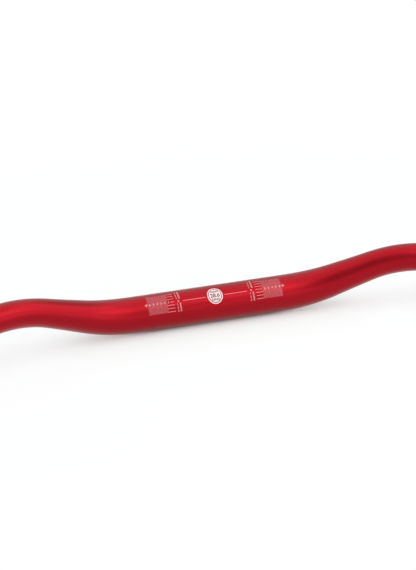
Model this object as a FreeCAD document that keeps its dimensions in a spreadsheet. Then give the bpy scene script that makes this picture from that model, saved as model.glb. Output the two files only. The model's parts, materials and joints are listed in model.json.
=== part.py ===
"""A one-piece tapered motocross handlebar: a bent aluminium tube, thick in the middle and thin at the grips.

The clamp section is a straight cylinder on the X axis, centred on the origin. On each side follow a bend
that raises the bar, a straight arm, a bend that sweeps it back to the rider, and a straight grip end. The
outside and the bore both get thinner from the start of the first bend.
The bar lies as it comes to rest on a table: on its clamp section and on the rims of its two open ends.
Millimetres, +Z up, +X along the clamp section, the rider's side towards -Y.
"""

import FreeCAD, Part
import math
import os

from FreeCAD import Placement, Rotation, Vector

X_AXIS = Vector(1, 0, 0)

# Driving dimensions, in millimetres and degrees.
SIZES = {
    "clamp_diameter": 28.6,
    "grip_diameter": 22.2,
    "clamp_bore": 20.0,
    "grip_bore": 14.0,
    "overall_width": 800.0,
    "centre_to_corner": 83.0,
    "corner_to_corner": 74.0,
    "rise_angle": 20.4,
    "rise_bend_radius": 118.0,
    "sweep_angle": 13.2,
    "upsweep_angle": 1.4,
    "sweep_bend_radius": 108.0,
    "taper_length": 86.5,
    "rim_chamfer": 0.6,
}

# Number of cross-sections that the skin of one bent arm is drawn through.
SECTIONS = 21

# How far the bore tools stand out of the open ends, so that they cut clean through.
OVERRUN = 5.0


def make_sheet(doc):
    sheet = doc.addObject("Spreadsheet::Sheet", "sizes")
    for row, (name, value) in enumerate(SIZES.items(), start=1):
        sheet.set(f"A{row}", name)
        sheet.set(f"B{row}", str(value))
        sheet.setAlias(f"B{row}", name)
    doc.recompute()
    return sheet


class CentreLine:
    """Right half of the tube's centre line, with the bar upright: rise along +Z, sweep along -Y."""

    def __init__(self, sheet):
        rise = math.radians(sheet.rise_angle)
        sweep = math.radians(sheet.sweep_angle)
        upsweep = math.radians(sheet.upsweep_angle)
        self.arm = Vector(math.cos(rise), 0, math.sin(rise))
        self.grip = Vector(
            math.cos(upsweep) * math.cos(sweep),
            -math.cos(upsweep) * math.sin(sweep),
            math.sin(upsweep),
        )
        first_corner = X_AXIS * sheet.centre_to_corner
        second_corner = first_corner + self.arm * sheet.corner_to_corner
        self.rise_bend = Bend(first_corner, X_AXIS, self.arm, sheet.rise_bend_radius)
        self.sweep_bend = Bend(second_corner, self.arm, self.grip, sheet.sweep_bend_radius)
        self.clamp_half = self.rise_bend.start.x
        self.arm_length = (self.sweep_bend.start - self.rise_bend.end).Length
        self.bent_length = self.rise_bend.length + self.arm_length + self.sweep_bend.length
        self.grip_length = (sheet.overall_width / 2 - self.sweep_bend.end.x) / self.grip.x
        self.end = self.sweep_bend.end + self.grip * self.grip_length

    def at(self, along):
        """Point and direction at a distance along the bent stretch, from the start of the first bend."""
        if along < self.rise_bend.length:
            return self.rise_bend.at(along)
        along -= self.rise_bend.length
        if along < self.arm_length:
            return self.rise_bend.end + self.arm * along, self.arm
        return self.sweep_bend.at(along - self.arm_length)


class Bend:
    """An arc that rounds the corner between two straight runs and is tangent to both."""

    def __init__(self, corner, before, after, radius):
        self.turn = before.getAngle(after)
        self.radius = radius
        self.length = radius * self.turn
        self.before = before
        tangent_length = radius * math.tan(self.turn / 2)
        self.start = corner - before * tangent_length
        self.end = corner + after * tangent_length
        axis = before.cross(after).normalize()
        self.inward = axis.cross(before)

    def at(self, along):
        angle = along / self.radius
        forward = self.before * math.sin(angle)
        sideways = self.inward * (1 - math.cos(angle))
        direction = self.before * math.cos(angle) + self.inward * math.sin(angle)
        return self.start + (forward + sideways) * self.radius, direction


def resting_lean(sheet, line):
    """Turn about the X axis, in degrees, that lays both end rims level with the clamp section's underside.

    A rim's lowest point is its centre's height less the grip's radius, foreshortened by the grip's slope.
    The turn is found by halving its range, because the rim only sinks as the bar leans over.
    """
    rim = line.end - line.grip * sheet.rim_chamfer
    low, high = 0.0, 90.0
    for _ in range(60):
        lean = (low + high) / 2
        turn = Rotation(X_AXIS, lean)
        slope = turn.multVec(line.grip).z
        lowest = turn.multVec(rim).z - sheet.grip_diameter / 2 * math.sqrt(1 - slope**2)
        if lowest > -sheet.clamp_diameter / 2:
            low = lean
        else:
            high = lean
    return lean


def facing(point, direction, lean):
    """Placement whose Z axis runs along the tube, with the seam of a circle there on the underside."""
    upright = Rotation(Vector(0, 0, -1), Vector(0, 1, 0), direction, "ZXY")
    return Placement(Vector(), Rotation(X_AXIS, lean)) * Placement(point, upright)


def add_cylinder(doc, name, radius, height, placement):
    cylinder = doc.addObject("Part::Cylinder", name)
    cylinder.setExpression("Radius", radius)
    cylinder.Height = height
    cylinder.Placement = placement
    return cylinder


def add_bent_arm(doc, name, thick, thin, line, taper_length, lean):
    """Solid through circles along the bent stretch, easing from one diameter to the other over the taper."""
    circles = []
    for index in range(SECTIONS):
        along = line.bent_length * index / (SECTIONS - 1)
        share = min(along / taper_length, 1.0)
        eased = share**2 * (3 - 2 * share)
        point, direction = line.at(along)
        circle = doc.addObject("Part::Circle", f"{name}_circle_{index}")
        circle.setExpression("Radius", f"({thick} + ({thin} - {thick}) * {eased:.6f}) / 2")
        circle.Placement = facing(point, direction, lean)
        circles.append(circle)
    arm = doc.addObject("Part::Loft", f"{name}_arm")
    arm.Sections = circles
    arm.Solid = True
    return arm


def add_full_bar(doc, name, thick, thin, line, taper_length, lean, overrun):
    """Clamp section, bent arms and grip ends joined into one solid, the left side mirrored from the right."""
    clamp_start = Vector(-line.clamp_half, 0, 0)
    clamp = add_cylinder(
        doc, f"{name}_clamp", f"{thick} / 2", 2 * line.clamp_half, facing(clamp_start, X_AXIS, lean)
    )
    grip = add_cylinder(
        doc,
        f"{name}_grip",
        f"{thin} / 2",
        line.grip_length + overrun,
        facing(line.sweep_bend.end, line.grip, lean),
    )
    arm = add_bent_arm(doc, name, thick, thin, line, taper_length, lean)
    side = doc.addObject("Part::Fuse", f"{name}_right_side")
    side.Base = arm
    side.Tool = grip
    mirrored = doc.addObject("Part::Mirroring", f"{name}_left_side")
    mirrored.Source = side
    mirrored.Normal = X_AXIS
    bar = doc.addObject("Part::MultiFuse", f"{name}_bar")
    bar.Shapes = [clamp, side, mirrored]
    return bar


def rim_edges(shape, sheet):
    """Numbers of the four circular edges round the two open ends, outside and bore."""
    edges = []
    for number, edge in enumerate(shape.Edges, start=1):
        if isinstance(edge.Curve, Part.Circle) and edge.isClosed():
            if abs(abs(edge.CenterOfMass.x) - sheet.overall_width / 2) < 0.01:
                edges.append(number)
    return edges


def add_tube(doc, sheet, line, lean):
    taper = sheet.taper_length
    outside = add_full_bar(
        doc, "outside", "sizes.clamp_diameter", "sizes.grip_diameter", line, taper, lean, 0
    )
    bore = add_full_bar(doc, "bore", "sizes.clamp_bore", "sizes.grip_bore", line, taper, lean, OVERRUN)
    hollow = doc.addObject("Part::Cut", "hollow_bar")
    hollow.Base = outside
    hollow.Tool = bore
    doc.recompute()
    tube = doc.addObject("Part::Chamfer", "handlebar_tube")
    tube.Base = hollow
    tube.Edges = [(number, sheet.rim_chamfer, sheet.rim_chamfer) for number in rim_edges(hollow.Shape, sheet)]
    return tube


def check(doc, parts):
    doc.recompute()
    for item in doc.Objects:
        if "Invalid" in item.State or "Error" in item.State:
            raise RuntimeError(f"{item.Label} failed: {item.State}")
    for part in parts:
        if part.Shape.isNull() or not part.Shape.isValid():
            raise RuntimeError(f"{part.Label} has no valid shape")


def main():
    doc = FreeCAD.newDocument("handlebar")
    sheet = make_sheet(doc)
    line = CentreLine(sheet)
    lean = resting_lean(sheet, line)
    parts = [add_tube(doc, sheet, line, lean)]
    check(doc, parts)
    os.makedirs("parts", exist_ok=True)
    for part in parts:
        part.Shape.exportStep(f"parts/{part.Label}.step")
        box = part.Shape.BoundBox
        print(f"{part.Label}: {part.Shape.Volume:.0f} mm3, {len(part.Shape.Solids)} solid, {box}")
    print(f"lean {lean:.3f}, clamp half {line.clamp_half:.3f}, grip length {line.grip_length:.3f}")


main()
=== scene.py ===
"""The looks of a tapered red anodised handlebar, lying on a white table."""

import json
import math

import bmesh
import bpy
import numpy as np
from mathutils import Matrix, Vector


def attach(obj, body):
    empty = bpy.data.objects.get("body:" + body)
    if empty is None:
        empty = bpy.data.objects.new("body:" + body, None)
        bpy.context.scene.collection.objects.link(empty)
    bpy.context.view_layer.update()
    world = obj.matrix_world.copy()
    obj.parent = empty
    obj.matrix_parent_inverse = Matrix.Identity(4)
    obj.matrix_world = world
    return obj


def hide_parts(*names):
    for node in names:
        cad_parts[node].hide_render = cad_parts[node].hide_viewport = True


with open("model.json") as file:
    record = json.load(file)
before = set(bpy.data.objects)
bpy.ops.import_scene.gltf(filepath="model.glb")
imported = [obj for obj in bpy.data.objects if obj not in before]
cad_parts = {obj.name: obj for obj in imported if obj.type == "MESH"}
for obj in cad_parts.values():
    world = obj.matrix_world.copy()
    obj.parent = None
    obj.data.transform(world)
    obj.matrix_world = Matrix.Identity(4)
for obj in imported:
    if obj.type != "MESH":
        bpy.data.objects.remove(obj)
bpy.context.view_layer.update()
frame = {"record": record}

TUBE = "handlebar_tube"
MM = 0.001

# Sizes of the bar. The mounts give the radii; the bends are the tube's own, in metres and radians.
mounts = {mount["name"]: mount for mount in frame["record"]["mounts"]}
CLAMP_RADIUS = mounts["clamp_seat"]["dims"]["r_mm"] * MM
GRIP_RADIUS = mounts["right_grip"]["dims"]["r_mm"] * MM
GRIP_BORE_RADIUS = mounts["right_end_bore"]["dims"]["r_mm"] * MM
CLAMP_BORE_RADIUS = 10 * MM
HALF_WIDTH = 400 * MM
CENTRE_TO_CORNER = 83 * MM
CORNER_TO_CORNER = 74 * MM
RISE_ANGLE = math.radians(20.4)
RISE_BEND_RADIUS = 118 * MM
SWEEP_ANGLE = math.radians(13.2)
UPSWEEP_ANGLE = math.radians(1.4)
SWEEP_BEND_RADIUS = 108 * MM
TAPER_LENGTH = 86.5 * MM
RIM_CHAMFER = 0.6 * MM

# How finely the skin and the hatch lines are drawn, and the angle from which an edge is sharp.
SEGMENTS = 112
RING_STEP = 2.6 * MM
HATCH_CELLS = 22
SHARP_ANGLE = math.radians(30)

# The marks on the clamp section: where they are round and along it, how proud, and their thickness.
MARK_ANGLE = math.radians(44.4)
MARK_PROUD = 0.03 * MM
NUMBERS_PROUD = 2 * MARK_PROUD
PLATE_NUMBER_PROUD = 2.5 * MARK_PROUD
MARK_LAYER = 0.05 * MM
MARKS_SHIFT = 2.3 * MM

# The clamp scales, measured outwards from the marks' middle, and up and down from their zero line.
HATCH_INNER = 39.3 * MM
HATCH_OUTER = 54.6 * MM
HATCH_HALF_HEIGHT = 8.0 * MM
HATCH_PITCH = 0.6 * MM
HATCH_LINE = 0.125 * MM
LINES_INNER = 33.4 * MM
ZERO_LINE_OUTER = 36.8 * MM
SCALE_STEPS = 3
SCALE_PITCH = 2.56 * MM
SCALE_LINE = 0.3 * MM
COLUMN_PLACE = {-1: -31.1 * MM, 1: 28.6 * MM}
COLUMN_SIZE = 2.1 * MM
ZERO_SIZE = 2.3 * MM
ZERO_ASIDE = 1.1 * MM
ROW_INNER = 38.0 * MM
ROW_OUTER = 53.2 * MM
ROW_COUNT = 6
ROW_SIZE = 2.5 * MM
PLUS_PLACE = 55.9 * MM
PLUS_REACH = 1.4 * MM
PLUS_LINE = 0.45 * MM
LADDER_PLACE = {-1: -28.8 * MM, 1: 31.0 * MM}
LADDER_WIDTH = 1.15 * MM
LADDER_LINE = 0.36 * MM
LADDER_PITCH = 0.66 * MM
LADDER_SPANS = ((-8.2 * MM, -1.8 * MM), (2.3 * MM, 9.6 * MM))

# The thin lines either side of the middle, and the oval plate with its rim, number and rows of ticks.
CENTRE_LINE = 0.3 * MM
CENTRE_LINE_HEIGHT = -0.25 * MM
CENTRE_LINE_INNER = 7.6 * MM
CENTRE_LINE_OUTER = 26.4 * MM
PLATE_HEIGHT = 0.2 * MM
PLATE_HALVES = (6.2 * MM, 7.0 * MM)
PLATE_INSETS = (0, 0.8 * MM, 1.4 * MM)
PLATE_NUMBER_SIZE = 4.5 * MM
PLATE_TICK = 0.7 * MM
PLATE_TICK_PITCH = 1.25 * MM
PLATE_TICKS_REACH = 2.5 * MM
PLATE_TICK_SPANS = {-1: (-4.3 * MM, -2.5 * MM), 1: (2.5 * MM, 4.3 * MM)}

# Numerals: how much bolder than the font, as a share of their size, and how finely they are sliced.
NUMERAL_WEIGHT = 0.025
NUMERAL_SLICES = 9

# The photograph's view: its turns, distance, lengths and places in pixels, and the sensor in mm.
VIEW_TURN = math.radians(16.36)
VIEW_PITCH = math.radians(20)
VIEW_ROLL = math.radians(2.63)
VIEW_DISTANCE = 1.918
FOCAL_PIXELS = 2435
IMAGE_WIDTH, IMAGE_HEIGHT = 416, 570
BAR_CENTRE_PIXEL = (208.9, 303.7)
SENSOR = 36

# The table: its half size in metres, and the share of plain white in it as it is seen.
# Near the bar that share is painted light: a white glow that lightens the bar's shadow, left out along
# the contact line.
TABLE_HALF = 30
CONTACT_HALF_LENGTH = 45 * MM
CONTACT_TAPER = 0.4
CONTACT_WIDTH = 14 * MM
WHITE_NEAR = 0.37
WHITE_STEP = 0.38
WHITE_STEP_FROM = 60 * MM
WHITE_STEP_TO = 150 * MM
WHITE_TO = 600 * MM

# The room: how high its white walls reach and fade, and the dimmer light above them.
WALL_TOP = math.radians(7.5)
WALL_FADE = math.radians(10)
ROOM_LIGHT = 0.54

# Colours in linear light: the dye at its deepest and palest, its cut edges, the marks and the table.
DYE_DEEP = (0.325, 0.001, 0.008, 1)
DYE_PALE = (0.385, 0.003, 0.011, 1)
CUT_EDGE = (0.62, 0.16, 0.17, 1)
LASER_MARK = (0.82, 0.38, 0.38)
FINE_LASER_MARK = (0.60, 0.17, 0.19)
WHITE_MARK = (0.86, 0.78, 0.76)
DARK_MARK = (0.26, 0.015, 0.03)
TABLE_WHITE = (0.935, 0.995, 0.985, 1)
PLAIN_WHITE = (1, 1, 1, 1)

# Fine detail: noise in waves to the metre, the lines' stretch along the bar, and the grain's depth.
GRAIN_SCALE = 5200
MARK_GRAIN_SCALE = 3600
LINE_SCALE = 1400
LINE_STRETCH = (0.05, 1, 1)
DYE_SCALE = 14
GRAIN_DEPTH = 0.04 * MM

# The metal's finish: its least roughness, what grain and lines add, their relief, and its pale cuts.
METAL_ROUGHNESS = 0.31
GRAIN_ROUGHNESS = 0.05
LINE_ROUGHNESS = 0.03
GRAIN_RELIEF = 0.85
LINE_RELIEF = 0.15
METAL_RELIEF = 0.14
CUT_SHARE = 0.5

# The marks' finish: factors of their colour where thin and full, their roughness's range and relief.
MARK_THIN = 0.8
MARK_FULL = 1.15
MARK_ROUGHNESS_RANGE = 0.2
MARK_RELIEF = 0.15


def lean_angle():
    """Turn about the X axis that lays the bar down: the right grip mount's axis gives it.

    Upright, a grip points towards the rider by the sweep and upwards by the upsweep. The turn between
    that direction and the mount's, seen along X, is the lean.
    """
    upright = math.atan2(math.sin(UPSWEEP_ANGLE), -math.cos(UPSWEEP_ANGLE) * math.sin(SWEEP_ANGLE))
    lying = math.atan2(mounts["right_grip"]["axis"][2], mounts["right_grip"]["axis"][1])
    return (lying - upright) % (2 * math.pi)


LEAN = lean_angle()


def bend(corner, before, after, radius):
    """An arc that rounds a corner: its start, end, turn and the unit vector towards its centre.

    Both ends are as far from the corner as the radius times the tangent of half the turn.
    """
    turn = math.acos(np.dot(before, after))
    reach = radius * math.tan(turn / 2)
    inward = after - before * np.dot(before, after)
    inward = inward / np.linalg.norm(inward)
    return {
        "start": corner - before * reach,
        "end": corner + after * reach,
        "turn": turn,
        "radius": radius,
        "before": before,
        "inward": inward,
        "length": radius * turn,
    }


def bend_points(arc, along):
    """Points and directions on an arc, at distances along it: the start plus sine and versed sine."""
    angle = (along / arc["radius"])[:, None]
    ahead = arc["before"] * np.sin(angle)
    aside = arc["inward"] * (1 - np.cos(angle))
    direction = arc["before"] * np.cos(angle) + arc["inward"] * np.sin(angle)
    return arc["start"] + (ahead + aside) * arc["radius"], direction


def half_line():
    """The right half, upright: the ways of clamp, arm and grip, the bends between, and two lengths."""
    x_axis = np.array([1.0, 0.0, 0.0])
    arm = np.array([math.cos(RISE_ANGLE), 0.0, math.sin(RISE_ANGLE)])
    grip = np.array(
        [
            math.cos(UPSWEEP_ANGLE) * math.cos(SWEEP_ANGLE),
            -math.cos(UPSWEEP_ANGLE) * math.sin(SWEEP_ANGLE),
            math.sin(UPSWEEP_ANGLE),
        ]
    )
    first = x_axis * CENTRE_TO_CORNER
    second = first + arm * CORNER_TO_CORNER
    rise = bend(first, x_axis, arm, RISE_BEND_RADIUS)
    sweep = bend(second, arm, grip, SWEEP_BEND_RADIUS)
    grip_length = (HALF_WIDTH - sweep["end"][0]) / grip[0]
    arm_length = np.linalg.norm(sweep["start"] - rise["end"])
    return x_axis, arm, grip, rise, sweep, arm_length, grip_length


X_AXIS, ARM, GRIP, RISE, SWEEP, ARM_LENGTH, GRIP_LENGTH = half_line()
CLAMP_HALF = RISE["start"][0]
HALF_LENGTH = CLAMP_HALF + RISE["length"] + ARM_LENGTH + SWEEP["length"] + GRIP_LENGTH


def right_half(along):
    """Centre line points and directions at distances from the middle, 0 to HALF_LENGTH.

    A straight run is its start plus its way times the distance past the start.
    """
    ends = np.cumsum([CLAMP_HALF, RISE["length"], ARM_LENGTH, SWEEP["length"]])
    on_rise, rise_way = bend_points(RISE, along - ends[0])
    on_sweep, sweep_way = bend_points(SWEEP, along - ends[2])
    step = along[:, None]
    points = np.select(
        [step < ends[0], step < ends[1], step < ends[2], step < ends[3]],
        [X_AXIS * step, on_rise, RISE["end"] + ARM * (step - ends[1]), on_sweep],
        SWEEP["end"] + GRIP * (step - ends[3]),
    )
    flat = np.zeros_like(points)
    ways = np.select(
        [step < ends[0], step < ends[1], step < ends[2], step < ends[3]],
        [X_AXIS + flat, rise_way, ARM + flat, sweep_way],
        GRIP + flat,
    )
    return points, ways


def centre_line(along):
    """Points and directions along the whole bar as it lies, from -HALF_LENGTH to HALF_LENGTH.

    The left half mirrors the right one, and the upright bar is turned about X by the lean.
    """
    points, ways = right_half(np.abs(along))
    side = np.where(along < 0, -1.0, 1.0)[:, None]
    points = points * np.hstack([side, np.ones_like(side), np.ones_like(side)])
    ways = ways * np.hstack([np.ones_like(side), side, side])
    tip = np.array(Matrix.Rotation(LEAN, 3, "X"))
    return points @ tip.T, ways @ tip.T


def eased_radius(along, thick, thin):
    """Radius along the bar: thick in the middle, thin at the grips, an S-shaped ease over the taper.

    The ease is three times the square of the taper's share, less twice its cube.
    """
    share = np.clip((np.abs(along) - CLAMP_HALF) / TAPER_LENGTH, 0, 1)
    return thick + (thin - thick) * share**2 * (3 - 2 * share)


def ring_stations():
    """Distances along the bar at which rings are drawn, evenly spaced between the two rims."""
    reach = HALF_LENGTH - RIM_CHAMFER
    count = int(2 * reach / RING_STEP) | 1
    return np.linspace(-reach, reach, count)


def skin_rings():
    """Every ring of the closed tube: outside from left to right, right rim, bore back, left rim."""
    along = ring_stations()
    outside = eased_radius(along, CLAMP_RADIUS, GRIP_RADIUS)
    bore = eased_radius(along, CLAMP_BORE_RADIUS, GRIP_BORE_RADIUS)
    face_radii = [GRIP_RADIUS - RIM_CHAMFER, GRIP_BORE_RADIUS + RIM_CHAMFER]
    stations = np.concatenate([along, [HALF_LENGTH] * 2, along[::-1], [-HALF_LENGTH] * 2])
    radii = np.concatenate([outside, face_radii, bore[::-1], face_radii[::-1]])
    return stations, radii


def tube_points(stations, radii, angles):
    """Surface points: the centre line plus the radius, turned from straight up towards the rider."""
    centres, ways = centre_line(stations)
    up = np.array([0.0, 0.0, 1.0]) - ways * ways[:, 2:3]
    up = up / np.linalg.norm(up, axis=1, keepdims=True)
    across = np.cross(ways, up)
    turn = angles[None, :, None]
    spokes = np.cos(turn) * up[:, None, :] + np.sin(turn) * across[:, None, :]
    return centres[:, None, :] + radii[:, None, None] * spokes


def new_piece(name, vertices, faces, material):
    """A mesh at the origin, of one material, that rides on the bar's only body."""
    mesh = bpy.data.meshes.new(name)
    mesh.from_pydata(vertices, [], faces)
    mesh.materials.append(material)
    piece = bpy.data.objects.new(name, mesh)
    bpy.context.scene.collection.objects.link(piece)
    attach(piece, "root")
    return piece


def grid_faces(rows, columns, close_rows=False, close_columns=False):
    """Quads of a grid of points, optionally joined from the last row or column to the first."""
    row = np.arange(rows if close_rows else rows - 1)[:, None]
    column = np.arange(columns if close_columns else columns - 1)[None, :]
    next_row = (row + 1) % rows
    next_column = (column + 1) % columns
    corners = [
        row * columns + column,
        row * columns + next_column,
        next_row * columns + next_column,
        next_row * columns + column,
    ]
    return np.stack(corners, axis=-1).reshape(-1, 4)


def make_skin(material):
    """The whole tube as one closed grid, which also keeps each point's place on a straight tube."""
    stations, radii = skin_rings()
    angles = np.linspace(0, 2 * math.pi, SEGMENTS, endpoint=False)
    points = tube_points(stations, radii, angles)
    faces = grid_faces(len(stations), SEGMENTS, close_rows=True, close_columns=True)
    skin = new_piece("bar_skin", points.reshape(-1, 3), faces, material)
    straight = np.stack(
        [
            np.repeat(stations, SEGMENTS),
            (radii[:, None] * np.cos(angles)).ravel(),
            (radii[:, None] * np.sin(angles)).ravel(),
        ],
        axis=-1,
    )
    unbent = skin.data.attributes.new("unbent", "FLOAT_VECTOR", "POINT")
    unbent.data.foreach_set("vector", straight.ravel())
    skin.data.shade_smooth()
    skin.data.set_sharp_from_angle(angle=SHARP_ANGLE)
    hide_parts(TUBE)


def on_clamp(across, height, proud):
    """Points on the clamp section from flat ones. The turn round the tube is height over radius."""
    angle = MARK_ANGLE + height / CLAMP_RADIUS
    radius = CLAMP_RADIUS + proud
    return np.stack([across, -radius * np.cos(angle), radius * np.sin(angle)], axis=-1)


def add_mark(name, flat, faces, material, proud=MARK_PROUD):
    """A thin closed layer: a flat shape wrapped round the clamp section and thickened inwards."""
    points = on_clamp(flat[:, 0], flat[:, 1], proud)
    mark = new_piece(name, points, faces, material)
    layer = mark.modifiers.new("layer", "SOLIDIFY")
    layer.thickness = MARK_LAYER
    layer.offset = -1


def strips(bars, cells):
    """Flat rectangles, each (left, right, low, high), cut into cells so that they can bend."""
    bars = np.asarray(bars, float)
    share_x, share_y = np.meshgrid(np.linspace(0, 1, cells[0] + 1), np.linspace(0, 1, cells[1] + 1))
    left, right, low, high = (bars[:, side, None] for side in range(4))
    flat = np.stack(
        [left + (right - left) * share_x.ravel(), low + (high - low) * share_y.ravel()], axis=-1
    )
    one = grid_faces(cells[1] + 1, cells[0] + 1)
    offsets = np.arange(len(bars))[:, None, None] * flat.shape[1]
    return flat.reshape(-1, 2), (one[None] + offsets).reshape(-1, 4)


def lines_between(first, last, pitch):
    """Evenly spaced places from first to last, about a pitch apart."""
    return np.linspace(first, last, int(round((last - first) / pitch)) + 1)


def hatch_bars(left, right, low, high):
    """The fine mesh of a pad: thin upright bars, and thin level ones."""
    half = HATCH_LINE / 2
    upright = [(x - half, x + half, low, high) for x in lines_between(left, right, HATCH_PITCH)]
    level = [(left, right, y - half, y + half) for y in lines_between(low, high, HATCH_PITCH)]
    return upright, level


def joined(*shapes):
    """Several flat shapes as one: points in a row, and faces counted on from shape to shape."""
    points, faces, start = [], [], 0
    for flat, own_faces in shapes:
        points.append(flat)
        faces += [[corner + start for corner in face] for face in own_faces]
        start += len(flat)
    return np.concatenate(points), faces


def numeral(text, size, centre):
    """Flat points and faces of a plain number, centred on a place and sliced level so that it can bend.

    It is drawn one metre high and then made small, because a tiny outline doesn't always fill.
    """
    outline = bpy.data.curves.new("numeral", "FONT")
    outline.body = text
    outline.offset = NUMERAL_WEIGHT
    carrier = bpy.data.objects.new("numeral", outline)
    bpy.context.scene.collection.objects.link(carrier)
    shape = carrier.evaluated_get(bpy.context.evaluated_depsgraph_get())
    mesh = bpy.data.meshes.new_from_object(shape)
    bpy.data.objects.remove(carrier)
    sliced = bmesh.new()
    sliced.from_mesh(mesh)
    bpy.data.meshes.remove(mesh)
    for level in np.linspace(0, 1, NUMERAL_SLICES):
        everything = sliced.verts[:] + sliced.edges[:] + sliced.faces[:]
        bmesh.ops.bisect_plane(sliced, geom=everything, plane_co=(0, level, 0), plane_no=(0, 1, 0))
    sliced.verts.index_update()
    flat = np.array([corner.co[:2] for corner in sliced.verts])
    faces = [[corner.index for corner in face.verts] for face in sliced.faces]
    sliced.free()
    middle = (flat.min(axis=0) + flat.max(axis=0)) / 2
    return (flat - middle) * size + centre, faces


def oval_ring(outer, inner, centre, rings=6, spokes=56):
    """A flat ring between two ovals, each (half width, half height). An inner (0, 0) fills the oval.

    A point is the half width times the cosine and the half height times the sine, and both halves go
    evenly from outer to inner.
    """
    turn = np.linspace(0, 2 * math.pi, spokes, endpoint=False)
    share = np.linspace(0, 1, rings + 1)[:, None]
    halves = np.array(outer) * (1 - share) + np.array(inner) * share
    flat = halves[:, None, :] * np.stack([np.cos(turn), np.sin(turn)], axis=-1)
    return flat.reshape(-1, 2) + centre, grid_faces(rings + 1, spokes, close_columns=True)


def make_scale(side, name, ink, hatch_ink):
    """One clamp scale, laid outwards from the marks' middle. side is 1 on the right, -1 on the left."""
    middle = MARKS_SHIFT

    def span(inner, outer):
        ends = (middle + side * inner, middle + side * outer)
        return min(ends), max(ends)

    left, right = span(HATCH_INNER, HATCH_OUTER)
    upright, level = hatch_bars(left, right, -HATCH_HALF_HEIGHT, HATCH_HALF_HEIGHT)
    add_mark(f"{name}_hatch_uprights", *strips(upright, (1, HATCH_CELLS)), hatch_ink)
    add_mark(f"{name}_hatch_levels", *strips(level, (1, 1)), hatch_ink)

    steps = range(-SCALE_STEPS, SCALE_STEPS + 1)
    bars = []
    for step in steps:
        reach = HATCH_INNER if step else ZERO_LINE_OUTER
        height = step * SCALE_PITCH
        bars.append((*span(LINES_INNER, reach), height - SCALE_LINE / 2, height + SCALE_LINE / 2))
    add_mark(f"{name}_graduations", *strips(bars, (1, 1)), ink)

    column = middle + COLUMN_PLACE[side]
    numbers = [
        numeral(str(abs(step)), COLUMN_SIZE, (column, step * SCALE_PITCH))
        for step in steps
        if step
    ]
    numbers.append(numeral("0", ZERO_SIZE, (column + ZERO_ASIDE, 0)))
    places = middle + side * np.linspace(ROW_INNER, ROW_OUTER, ROW_COUNT)
    for count, place in enumerate(places, start=1):
        numbers.append(numeral(str(count), ROW_SIZE, (place, 0)))
    place = middle + side * PLUS_PLACE
    half = PLUS_LINE / 2
    numbers.append(strips([(place - PLUS_REACH, place + PLUS_REACH, -half, half)], (1, 1)))
    for low, high in ((-PLUS_REACH, -half), (half, PLUS_REACH)):
        numbers.append(strips([(place - half, place + half, low, high)], (1, 3)))
    add_mark(f"{name}_numbers", *joined(*numbers), ink, NUMBERS_PROUD)

    ladder = middle + LADDER_PLACE[side]
    ticks = [
        (ladder - LADDER_WIDTH / 2, ladder + LADDER_WIDTH / 2, y - LADDER_LINE / 2, y + LADDER_LINE / 2)
        for low, high in LADDER_SPANS
        for y in lines_between(low, high, LADDER_PITCH)
    ]
    add_mark(f"{name}_ladder", *strips(ticks, (1, 1)), ink)


def make_centre_marks(ink, white, dark):
    """A thin line each side of the middle, and between them an oval plate with a number and ticks."""
    under = CENTRE_LINE_HEIGHT - CENTRE_LINE / 2
    over = CENTRE_LINE_HEIGHT + CENTRE_LINE / 2
    lines = []
    for side in (-1, 1):
        ends = sorted(MARKS_SHIFT + side * reach for reach in (CENTRE_LINE_INNER, CENTRE_LINE_OUTER))
        lines.append((*ends, under, over))
    add_mark("centre_lines", *strips(lines, (1, 1)), ink)

    centre = np.array((MARKS_SHIFT, PLATE_HEIGHT))
    outside, inside, field = (np.array(PLATE_HALVES) - inset for inset in PLATE_INSETS)
    rim = oval_ring(outside, inside, centre, rings=2)
    add_mark("size_plate", *joined(rim, oval_ring(field, (0, 0), centre)), white)

    number = numeral(f"{CLAMP_RADIUS * 2 / MM:.1f}", PLATE_NUMBER_SIZE, centre)
    ticks = []
    for row in (-1, 1):
        for place in lines_between(-PLATE_TICKS_REACH, PLATE_TICKS_REACH, PLATE_TICK_PITCH):
            low, high = centre[1] + np.array(PLATE_TICK_SPANS[row])
            left = centre[0] + place - PLATE_TICK / 2
            ticks.append((left, left + PLATE_TICK, low, high))
    add_mark("size_number", *joined(number, strips(ticks, (1, 2))), dark, PLATE_NUMBER_PROUD)


class Value:
    """One output of a node. Where it is a number, Python's operators on it add Math nodes."""

    def __init__(self, tree, socket):
        self.tree = tree
        self.socket = socket

    def maths(self, operation, *others, clamp=False):
        """What a Math node makes of this number and the others."""
        return self.tree.node("ShaderNodeMath", [self, *others], operation=operation, use_clamp=clamp)

    def __add__(self, other):
        return self.maths("ADD", other)

    def __mul__(self, other):
        return self.maths("MULTIPLY", other)

    def __sub__(self, other):
        return self.maths("SUBTRACT", other)

    def __rsub__(self, other):
        return self * -1 + other

    __radd__ = __add__
    __rmul__ = __mul__


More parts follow.
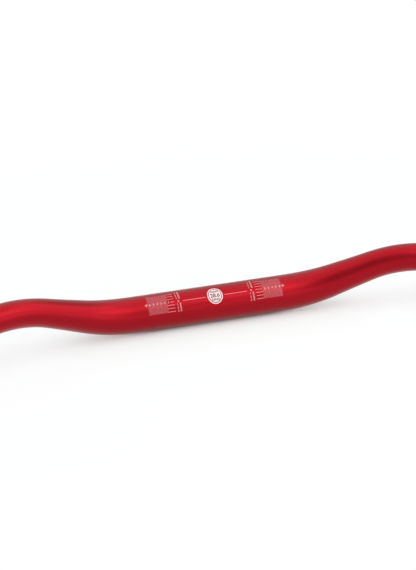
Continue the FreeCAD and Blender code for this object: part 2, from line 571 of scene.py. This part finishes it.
class Tree:
    """The nodes of a material or of the world."""

    def __init__(self, owner):
        self.owner = owner
        owner.use_nodes = True
        self.nodes = owner.node_tree.nodes
        self.links = owner.node_tree.links
        self.nodes.clear()

    def node(self, kind, inputs=(), output=0, **settings):
        """A new node: its settings first, then its sockets. Gives one of its outputs, if it has any."""
        made = self.nodes.new(kind)
        for name, setting in settings.items():
            setattr(made, name, setting)
        pairs = inputs.items() if isinstance(inputs, dict) else enumerate(inputs)
        for key, value in pairs:
            if isinstance(value, Value):
                self.links.new(value.socket, made.inputs[key])
            else:
                made.inputs[key].default_value = value
        return Value(self, made.outputs[output]) if made.outputs else None

    def blend(self, share, low, high):
        """A colour that goes from low to high as share goes from 0 to 1.

        A Mix node has several sockets of each name. Its colours are inputs 6 and 7 and output 2.
        """
        return self.node(
            "ShaderNodeMix", {0: share, 6: low, 7: high}, output=2, data_type="RGBA", clamp_factor=True
        )

    def ramp(self, value, start, end, low, high, kind="LINEAR"):
        """A number that goes from low to high as value goes from start to end, and stays so beyond."""
        return self.node("ShaderNodeMapRange", [value, start, end, low, high], interpolation_type=kind)

    def bump(self, height, strength):
        """The surface with a height laid on it, as deep as the metal's grain."""
        return self.node(
            "ShaderNodeBump", {"Strength": strength, "Distance": GRAIN_DEPTH, "Height": height}
        )

    def finish(self, shader, kind="ShaderNodeOutputMaterial"):
        """Sends a shader to the tree's output, and gives the material or world it belongs to."""
        self.node(kind, {"Surface": shader})
        return self.owner


def anodised_red():
    """Satin anodising: blasted grain, faint drawing lines, slightly uneven dye and paler cut edges."""
    tree = Tree(bpy.data.materials.new("satin anodised red"))
    place = tree.node("ShaderNodeAttribute", output="Vector", attribute_name="unbent")
    stretched = tree.node("ShaderNodeMapping", {"Vector": place, "Scale": LINE_STRETCH})
    lines = tree.node("ShaderNodeTexNoise", {"Vector": stretched, "Scale": LINE_SCALE, "Detail": 2})
    grain = tree.node("ShaderNodeTexNoise", {"Vector": place, "Scale": GRAIN_SCALE, "Detail": 3})
    dye = tree.node("ShaderNodeTexNoise", {"Vector": place, "Scale": DYE_SCALE, "Detail": 2})
    along = tree.node("ShaderNodeSeparateXYZ", [place], output="X").maths("ABSOLUTE")
    cut = tree.ramp(along, HALF_LENGTH - 2 * RIM_CHAMFER, HALF_LENGTH, 0, CUT_SHARE)
    shader = tree.node(
        "ShaderNodeBsdfPrincipled",
        {
            "Base Color": tree.blend(cut, tree.blend(dye, DYE_DEEP, DYE_PALE), CUT_EDGE),
            "Metallic": 1.0,
            "Roughness": lines * LINE_ROUGHNESS + (grain * GRAIN_ROUGHNESS + METAL_ROUGHNESS),
            "Normal": tree.bump(grain * GRAIN_RELIEF + lines * LINE_RELIEF, METAL_RELIEF),
            "Coat Weight": 0.4,
            "Coat Roughness": 0.3,
            "Coat IOR": 1.3,
            "Sheen Weight": 0.12,
            "Sheen Roughness": 0.4,
        },
    )
    return tree.finish(shader)


def fine_mark(name, colour, roughness):
    """An ink or laser mark. The blasted metal's grain shows in its colour, gloss and surface."""
    tree = Tree(bpy.data.materials.new(name))
    place = tree.node("ShaderNodeTexCoord", output="Object")
    grain = tree.node("ShaderNodeTexNoise", {"Vector": place, "Scale": MARK_GRAIN_SCALE, "Detail": 3})
    thin = tuple(part * MARK_THIN for part in colour) + (1,)
    full = tuple(part * MARK_FULL for part in colour) + (1,)
    least = roughness - MARK_ROUGHNESS_RANGE / 2
    shader = tree.node(
        "ShaderNodeBsdfPrincipled",
        {
            "Base Color": tree.blend(grain, thin, full),
            "Roughness": grain * MARK_ROUGHNESS_RANGE + least,
            "Normal": tree.bump(grain, MARK_RELIEF),
        },
    )
    return tree.finish(shader)


def seen_rays(tree):
    """1 for what is seen, straight or by way of metal and glass, and 0 for the light that falls."""
    camera, glossy, transmission = (
        tree.node("ShaderNodeLightPath", output=f"Is {kind} Ray")
        for kind in ("Camera", "Glossy", "Transmission")
    )
    return (camera + glossy).maths("ADD", transmission, clamp=True)


def white_table():
    """White with a faint gloss, seen mixed with plain white: wholly so far out, and not under the bar.
    Near the bar the plain white is painted light: a glow that lightens the bar's shadow on the table,
    left out along the contact line so that the shade there stays dark.

    The share of plain white is the sum of three ramps. The first rises with the distance from the line
    where the clamp section touches the table, and the others with the distance from the bar's middle.
    The distance from the line is the length of two parts: how far x is past the line's end, times a
    taper, and y.
    """
    tree = Tree(bpy.data.materials.new("white table"))
    lit = tree.node(
        "ShaderNodeBsdfPrincipled",
        {"Base Color": TABLE_WHITE, "Roughness": 0.03, "Specular IOR Level": 0.12},
    )
    plain = tree.node("ShaderNodeEmission", {"Color": PLAIN_WHITE, "Strength": 1})
    place = tree.node("ShaderNodeTexCoord", output="Object")
    away = tree.node("ShaderNodeVectorMath", [place], output="Value", operation="LENGTH")
    across = tree.node("ShaderNodeSeparateXYZ", [place], output="X").maths("ABSOLUTE")
    beyond = (across - CONTACT_HALF_LENGTH).maths("MAXIMUM", 0) * CONTACT_TAPER
    aside = tree.node("ShaderNodeSeparateXYZ", [place], output="Y")
    clear = (beyond * beyond + aside * aside).maths("SQRT")
    # Painted light: near the bar the white glow lightens its shadow; along the contact line it is left
    # out, so the shade there stays dark.
    near = tree.ramp(clear, 0, CONTACT_WIDTH, 0, WHITE_NEAR, "SMOOTHSTEP")
    step = tree.ramp(away, WHITE_STEP_FROM, WHITE_STEP_TO, 0, WHITE_STEP, "SMOOTHSTEP")
    further = tree.ramp(away, WHITE_STEP_TO, WHITE_TO, 0, 1 - WHITE_NEAR - WHITE_STEP)
    share = (near + step + further) * seen_rays(tree)
    return tree.finish(tree.node("ShaderNodeMixShader", [share, lit, plain]))


def make_floor():
    """The table top: a large flat square, level with the underside of the clamp section."""
    low = -CLAMP_RADIUS
    corners = [(x * TABLE_HALF, y * TABLE_HALF, low) for x, y in ((-1, -1), (1, -1), (1, 1), (-1, 1))]
    mesh = bpy.data.meshes.new("table_top")
    mesh.from_pydata(corners, [], [(0, 1, 2, 3)])
    mesh.materials.append(white_table())
    floor = bpy.data.objects.new("table_top", mesh)
    bpy.context.scene.collection.objects.link(floor)


def make_camera():
    """The photograph's view: three turns give its right, up and forward, and these give its place."""
    turn = Matrix.Rotation(-VIEW_TURN, 3, "Z")
    forward = turn @ Vector((0, math.cos(VIEW_PITCH), -math.sin(VIEW_PITCH)))
    level_right = turn @ Vector((1, 0, 0))
    level_up = level_right.cross(forward)
    right = level_right * math.cos(VIEW_ROLL) - level_up * math.sin(VIEW_ROLL)
    up = level_right * math.sin(VIEW_ROLL) + level_up * math.cos(VIEW_ROLL)
    aside = (BAR_CENTRE_PIXEL[0] - IMAGE_WIDTH / 2) / FOCAL_PIXELS * VIEW_DISTANCE
    above = (IMAGE_HEIGHT / 2 - BAR_CENTRE_PIXEL[1]) / FOCAL_PIXELS * VIEW_DISTANCE
    data = bpy.data.cameras.new("camera")
    data.sensor_width = SENSOR
    data.lens = FOCAL_PIXELS / max(IMAGE_WIDTH, IMAGE_HEIGHT) * SENSOR
    camera = bpy.data.objects.new("camera", data)
    turned = Matrix((right, up, -forward)).transposed().to_4x4()
    turned.translation = -(right * aside + up * above + forward * VIEW_DISTANCE)
    camera.matrix_world = turned
    bpy.context.scene.collection.objects.link(camera)
    bpy.context.scene.camera = camera


def add_softbox(name, azimuth, elevation, distance, width, height, power):
    """A rectangular lamp aimed at the bar. Azimuth 0 is on the rider's side, 90 to the right of it.

    Angles are in degrees, lengths in metres and the power in watts.
    """
    azimuth, elevation = math.radians(azimuth), math.radians(elevation)
    level = math.cos(elevation)
    way = Vector((math.sin(azimuth) * level, -math.cos(azimuth) * level, math.sin(elevation)))
    data = bpy.data.lights.new(name, "AREA")
    data.shape = "RECTANGLE"
    data.size, data.size_y = width, height
    data.energy = power
    lamp = bpy.data.objects.new(name, data)
    lamp.location = way * distance
    lamp.rotation_euler = way.to_track_quat("Z", "Y").to_euler()
    bpy.context.scene.collection.objects.link(lamp)


def light_studio():
    """Soft lamps in a plain room: white walls up to a low height, and the room's dimmer light above."""
    tree = Tree(bpy.data.worlds.new("studio"))
    way = tree.node("ShaderNodeTexCoord", output="Generated")
    height = tree.node("ShaderNodeSeparateXYZ", [way], output="Z")
    light = tree.ramp(height, math.sin(WALL_TOP), math.sin(WALL_FADE), 1, ROOM_LIGHT)
    room = tree.node("ShaderNodeBackground", {"Color": PLAIN_WHITE, "Strength": light})
    bpy.context.scene.world = tree.finish(room, "ShaderNodeOutputWorld")
    add_softbox("overhead", azimuth=0, elevation=88, distance=1.6, width=2.0, height=1.7, power=8.8)
    add_softbox("rear", azimuth=180, elevation=50, distance=1.9, width=2.0, height=1.6, power=5.0)
    add_softbox("side", azimuth=50, elevation=31, distance=1.9, width=2.2, height=1.4, power=10.0)
    add_softbox("key", azimuth=31, elevation=49, distance=1.9, width=0.7, height=0.8, power=2.9)
    add_softbox("low", azimuth=22, elevation=11, distance=1.9, width=1.0, height=0.6, power=1.5)
    add_softbox("right", azimuth=85, elevation=56, distance=1.9, width=0.8, height=0.8, power=2.6)


red = anodised_red()
scale_ink = fine_mark("laser mark", LASER_MARK, 0.55)
hatch_ink = fine_mark("fine laser mark", FINE_LASER_MARK, 0.55)
white_ink = fine_mark("white mark", WHITE_MARK, 0.5)
dark_ink = fine_mark("dark red mark", DARK_MARK, 0.5)
make_skin(red)
make_scale(-1, "left_scale", scale_ink, hatch_ink)
make_scale(1, "right_scale", scale_ink, hatch_ink)
make_centre_marks(scale_ink, white_ink, dark_ink)
make_floor()
make_camera()
light_studio()
bpy.context.scene.view_settings.view_transform = "Standard"
